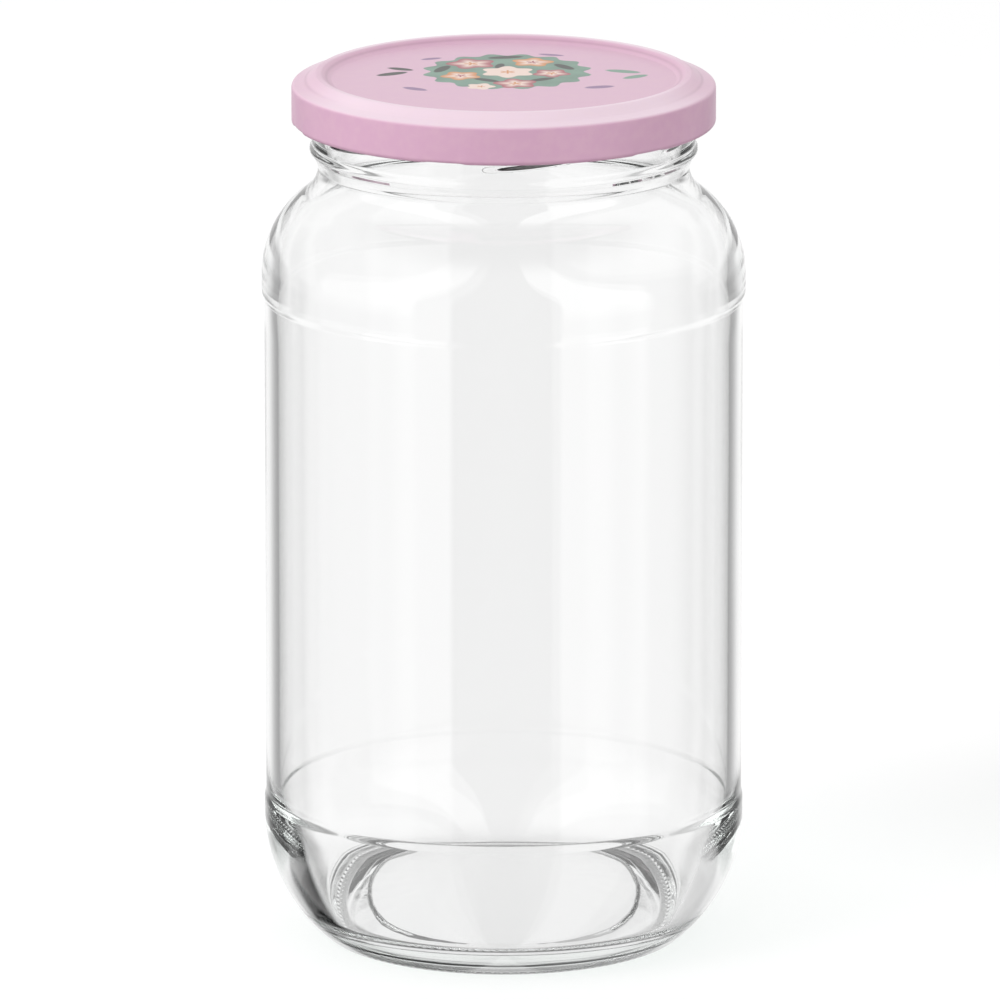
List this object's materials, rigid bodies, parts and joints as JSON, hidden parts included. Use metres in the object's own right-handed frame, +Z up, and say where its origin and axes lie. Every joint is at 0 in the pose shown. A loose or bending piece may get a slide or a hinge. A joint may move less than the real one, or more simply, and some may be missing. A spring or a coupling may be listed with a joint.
{
  "type": "round glass preserving jar with twist-off lid",
  "caption": "Round clear glass preserving jar with a recessed label panel, rounded heel and shoulder, threaded mouth and a pink patterned twist-off metal lid.",
  "frame": {"origin": "middle of the base, on the plane that the jar stands on", "axes": "+Z up along the jar's axis, -Y towards the side seen first, +X to its right"},
  "size_m": [0.0976, 0.0976, 0.1783],
  "materials": {
    "clear_glass": "glossy",
    "lacquered_steel": "satin"
  },
  "bodies": {
    "root": {"jar": "clear_glass", "lid": "lacquered_steel"}
  },
  "joints": []
}
